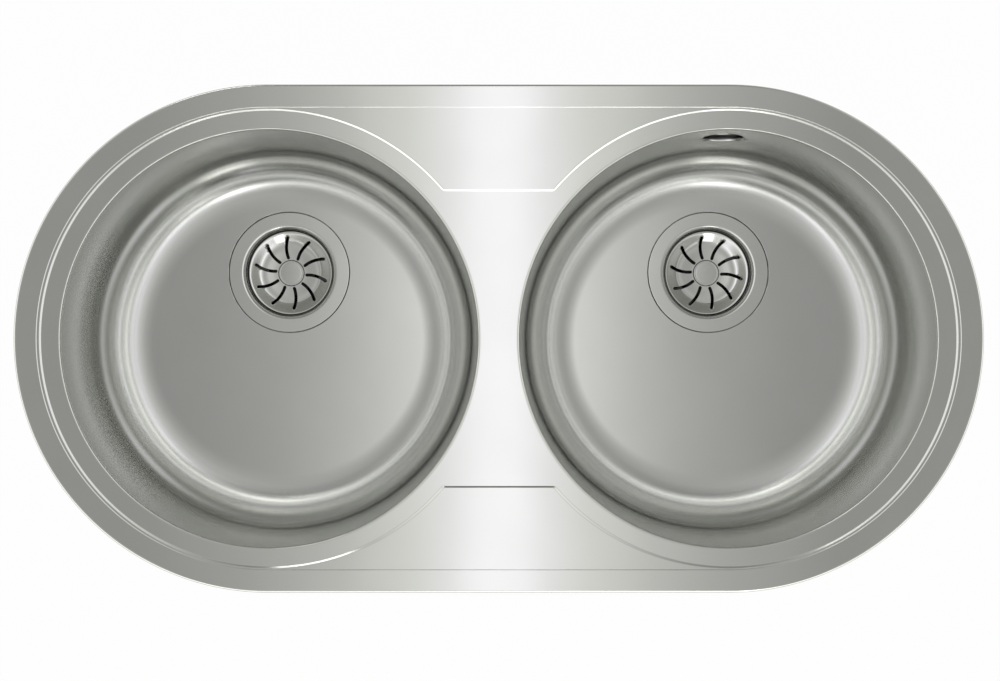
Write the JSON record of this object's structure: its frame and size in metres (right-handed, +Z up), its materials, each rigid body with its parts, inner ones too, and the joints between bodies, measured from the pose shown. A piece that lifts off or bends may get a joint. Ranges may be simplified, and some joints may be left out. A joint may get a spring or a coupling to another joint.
{
  "type": "double bowl inset kitchen sink",
  "caption": "Inset kitchen sink in brushed stainless steel: rounded deck with tap ledges, round deep bowls, lift-out basket strainers, overflow and worktop clips.",
  "frame": {"origin": "centre of the worktop cut-out, on the worktop's top face", "axes": "+X to the right along the sink, +Y to the back, +Z up"},
  "size_m": [0.84, 0.44, 0.2508],
  "materials": {
    "brushed_steel": "fine linear brushing from left to right",
    "bowl_steel": "satin, brushed round the bowl",
    "polished_steel": "bright satin pressing",
    "knob_steel": "satin with a bright edge",
    "screw_steel": "bright turned steel",
    "clip_steel": "zinc plated",
    "brass": "turned",
    "black_rubber": "matt",
    "seal_foam": "closed cell foam",
    "sound_pad": "bitumen damping pad",
    "waste_plastic": "moulded, fine satin",
    "carrier_plastic": "moulded",
    "hose_plastic": "corrugated, slightly glossy"
  },
  "bodies": {
    "sink": {"deck": "brushed_steel", "rim_seal": "seal_foam", "bowl_left": "bowl_steel", "sound_pad_left": "sound_pad", "strainer_cup_left": "polished_steel", "flange_gasket_left": "black_rubber", "waste_gasket_left": "black_rubber", "waste_body_left": "waste_plastic", "strainer_screw_left": "screw_steel", "screw_insert_left": "brass", "bowl_right": "bowl_steel", "sound_pad_right": "sound_pad", "strainer_cup_right": "polished_steel", "flange_gasket_right": "black_rubber", "waste_gasket_right": "black_rubber", "waste_body_right": "waste_plastic", "strainer_screw_right": "screw_steel", "screw_insert_right": "brass", "overflow_rosette": "polished_steel", "overflow_screw": "screw_steel", "overflow_gasket": "black_rubber", "overflow_head": "waste_plastic", "overflow_hose": "hose_plastic", "hose_clips": "clip_steel", "clip_lugs": "clip_steel"},
    "basket_left": {"basket_shell_left": "polished_steel", "basket_knob_left": "knob_steel", "basket_stem_left": "screw_steel", "basket_stopper_left": "black_rubber", "stopper_carrier_left": "carrier_plastic", "basket_catch_left": "screw_steel"},
    "basket_right": {"basket_shell_right": "polished_steel", "basket_knob_right": "knob_steel", "basket_stem_right": "screw_steel", "basket_stopper_right": "black_rubber", "stopper_carrier_right": "carrier_plastic", "basket_catch_right": "screw_steel"},
    "clip_1_screw": {"clip_screw_1": "screw_steel"},
    "clip_1_claw": {"clip_claw_1": "clip_steel"},
    "clip_2_screw": {"clip_screw_2": "screw_steel"},
    "clip_2_claw": {"clip_claw_2": "clip_steel"},
    "clip_3_screw": {"clip_screw_3": "screw_steel"},
    "clip_3_claw": {"clip_claw_3": "clip_steel"},
    "clip_4_screw": {"clip_screw_4": "screw_steel"},
    "clip_4_claw": {"clip_claw_4": "clip_steel"},
    "clip_5_screw": {"clip_screw_5": "screw_steel"},
    "clip_5_claw": {"clip_claw_5": "clip_steel"},
    "clip_6_screw": {"clip_screw_6": "screw_steel"},
    "clip_6_claw": {"clip_claw_6": "clip_steel"},
    "clip_7_screw": {"clip_screw_7": "screw_steel"},
    "clip_7_claw": {"clip_claw_7": "clip_steel"},
    "clip_8_screw": {"clip_screw_8": "screw_steel"},
    "clip_8_claw": {"clip_claw_8": "clip_steel"}
  },
  "joints": [
    {"name": "basket_left_lift", "type": "slide", "parent": "sink", "child": "basket_left", "axis": [0, 0, 1], "range_m": [0, 0.21]},
    {"name": "basket_right_lift", "type": "slide", "parent": "sink", "child": "basket_right", "axis": [0, 0, 1], "range_m": [0, 0.21]},
    {"name": "clip_1_tighten", "type": "slide", "parent": "sink", "child": "clip_1_screw", "axis": [0, 0, 1], "range_m": [-0.014, 0.002]},
    {"name": "clip_1_swing", "type": "hinge", "parent": "clip_1_screw", "child": "clip_1_claw", "pos_m": [-0.115, -0.195, -0.038], "axis": [0, 0, 1], "range_deg": [0, 90]},
    {"name": "clip_2_tighten", "type": "slide", "parent": "sink", "child": "clip_2_screw", "axis": [0, 0, 1], "range_m": [-0.014, 0.002]},
    {"name": "clip_2_swing", "type": "hinge", "parent": "clip_2_screw", "child": "clip_2_claw", "pos_m": [0.115, -0.195, -0.038], "axis": [0, 0, 1], "range_deg": [0, 90]},
    {"name": "clip_3_tighten", "type": "slide", "parent": "sink", "child": "clip_3_screw", "axis": [0, 0, 1], "range_m": [-0.014, 0.002]},
    {"name": "clip_3_swing", "type": "hinge", "parent": "clip_3_screw", "child": "clip_3_claw", "pos_m": [-0.115, 0.195, -0.038], "axis": [0, 0, 1], "range_deg": [0, 90]},
    {"name": "clip_4_tighten", "type": "slide", "parent": "sink", "child": "clip_4_screw", "axis": [0, 0, 1], "range_m": [-0.014, 0.002]},
    {"name": "clip_4_swing", "type": "hinge", "parent": "clip_4_screw", "child": "clip_4_claw", "pos_m": [0.115, 0.195, -0.038], "axis": [0, 0, 1], "range_deg": [0, 90]},
    {"name": "clip_5_tighten", "type": "slide", "parent": "sink", "child": "clip_5_screw", "axis": [0, 0, 1], "range_m": [-0.014, 0.002]},
    {"name": "clip_5_swing", "type": "hinge", "parent": "clip_5_screw", "child": "clip_5_claw", "pos_m": [-0.34491, 0.13048, -0.038], "axis": [0, 0, 1], "range_deg": [0, 90]},
    {"name": "clip_6_tighten", "type": "slide", "parent": "sink", "child": "clip_6_screw", "axis": [0, 0, 1], "range_m": [-0.014, 0.002]},
    {"name": "clip_6_swing", "type": "hinge", "parent": "clip_6_screw", "child": "clip_6_claw", "pos_m": [-0.34491, -0.13048, -0.038], "axis": [0, 0, 1], "range_deg": [0, 90]},
    {"name": "clip_7_tighten", "type": "slide", "parent": "sink", "child": "clip_7_screw", "axis": [0, 0, 1], "range_m": [-0.014, 0.002]},
    {"name": "clip_7_swing", "type": "hinge", "parent": "clip_7_screw", "child": "clip_7_claw", "pos_m": [0.34491, -0.13048, -0.038], "axis": [0, 0, 1], "range_deg": [0, 90]},
    {"name": "clip_8_tighten", "type": "slide", "parent": "sink", "child": "clip_8_screw", "axis": [0, 0, 1], "range_m": [-0.014, 0.002]},
    {"name": "clip_8_swing", "type": "hinge", "parent": "clip_8_screw", "child": "clip_8_claw", "pos_m": [0.34491, 0.13048, -0.038], "axis": [0, 0, 1], "range_deg": [0, 90]}
  ]
}
